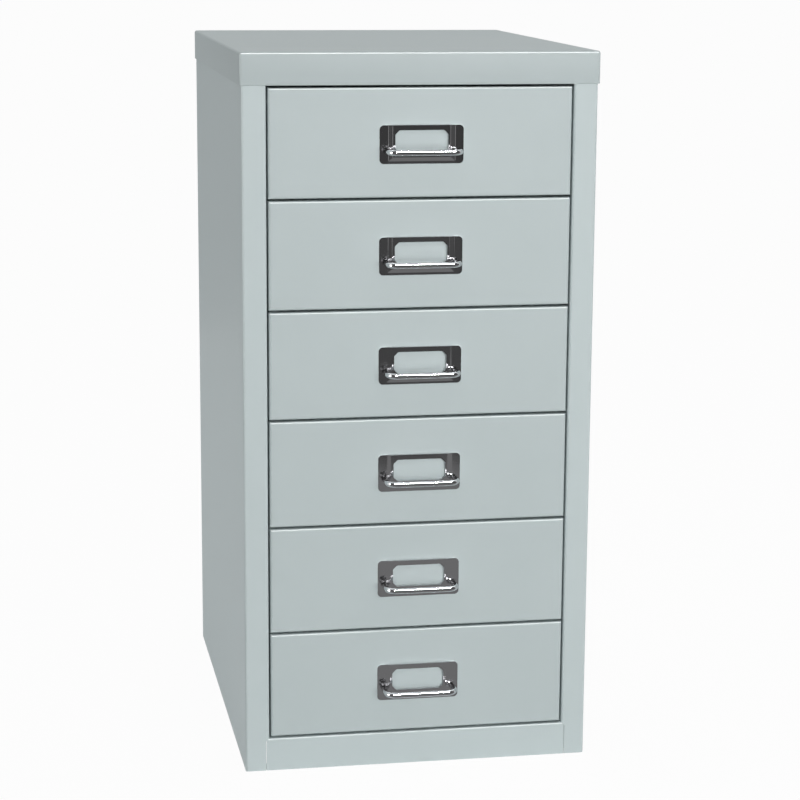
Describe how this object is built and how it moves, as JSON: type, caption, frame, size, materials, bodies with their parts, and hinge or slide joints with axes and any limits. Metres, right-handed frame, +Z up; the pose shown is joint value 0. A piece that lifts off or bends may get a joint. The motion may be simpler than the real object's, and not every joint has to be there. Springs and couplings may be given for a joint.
{
  "type": "drawer cabinet",
  "caption": "Narrow desk-side sheet-steel cabinet with a stack of shallow sliding drawers, each with a chromed label plate and fixed wire pull.",
  "frame": {"origin": "on the floor, under the middle of the whole object with its pulls", "axes": "+Z up; -Y is the front, the way the drawers open; +X is on the right of someone who faces the front"},
  "size_m": [0.29, 0.4028, 0.59],
  "materials": {
    "painted_steel": "pale grey-green powder coat, satin with a very fine texture",
    "runner_steel": "zinc-plated mild steel",
    "bright_chrome": "bright chromium plate on steel",
    "zinc_nut": "zinc-plated push-on nut",
    "nylon": "natural nylon"
  },
  "bodies": {
    "cabinet": {"top_cap": "painted_steel", "back_panel": "painted_steel", "base_tray": "painted_steel", "side_panel_left": "painted_steel", "side_panel_right": "painted_steel", "post_front_left": "runner_steel", "post_front_right": "runner_steel", "post_rear_left": "runner_steel", "post_rear_right": "runner_steel", "runner_1_left": "runner_steel", "runner_1_right": "runner_steel", "runner_2_left": "runner_steel", "runner_2_right": "runner_steel", "runner_3_left": "runner_steel", "runner_3_right": "runner_steel", "runner_4_left": "runner_steel", "runner_4_right": "runner_steel", "runner_5_left": "runner_steel", "runner_5_right": "runner_steel", "runner_6_left": "runner_steel", "runner_6_right": "runner_steel"},
    "drawer_1": {"drawer_box_1": "painted_steel", "drawer_front_1": "painted_steel", "label_plate_1": "bright_chrome", "wire_pull_1": "bright_chrome", "pull_nuts_1": "zinc_nut", "drawer_glides_1": "nylon"},
    "drawer_2": {"drawer_box_2": "painted_steel", "drawer_front_2": "painted_steel", "label_plate_2": "bright_chrome", "wire_pull_2": "bright_chrome", "pull_nuts_2": "zinc_nut", "drawer_glides_2": "nylon"},
    "drawer_3": {"drawer_box_3": "painted_steel", "drawer_front_3": "painted_steel", "label_plate_3": "bright_chrome", "wire_pull_3": "bright_chrome", "pull_nuts_3": "zinc_nut", "drawer_glides_3": "nylon"},
    "drawer_4": {"drawer_box_4": "painted_steel", "drawer_front_4": "painted_steel", "label_plate_4": "bright_chrome", "wire_pull_4": "bright_chrome", "pull_nuts_4": "zinc_nut", "drawer_glides_4": "nylon"},
    "drawer_5": {"drawer_box_5": "painted_steel", "drawer_front_5": "painted_steel", "label_plate_5": "bright_chrome", "wire_pull_5": "bright_chrome", "pull_nuts_5": "zinc_nut", "drawer_glides_5": "nylon"},
    "drawer_6": {"drawer_box_6": "painted_steel", "drawer_front_6": "painted_steel", "label_plate_6": "bright_chrome", "wire_pull_6": "bright_chrome", "pull_nuts_6": "zinc_nut", "drawer_glides_6": "nylon"}
  },
  "joints": [
    {"name": "drawer_1_slide", "type": "slide", "parent": "cabinet", "child": "drawer_1", "axis": [0, -1, 0], "range_m": [0, 0.311]},
    {"name": "drawer_2_slide", "type": "slide", "parent": "cabinet", "child": "drawer_2", "axis": [0, -1, 0], "range_m": [0, 0.311]},
    {"name": "drawer_3_slide", "type": "slide", "parent": "cabinet", "child": "drawer_3", "axis": [0, -1, 0], "range_m": [0, 0.311]},
    {"name": "drawer_4_slide", "type": "slide", "parent": "cabinet", "child": "drawer_4", "axis": [0, -1, 0], "range_m": [0, 0.311]},
    {"name": "drawer_5_slide", "type": "slide", "parent": "cabinet", "child": "drawer_5", "axis": [0, -1, 0], "range_m": [0, 0.311]},
    {"name": "drawer_6_slide", "type": "slide", "parent": "cabinet", "child": "drawer_6", "axis": [0, -1, 0], "range_m": [0, 0.311]}
  ]
}
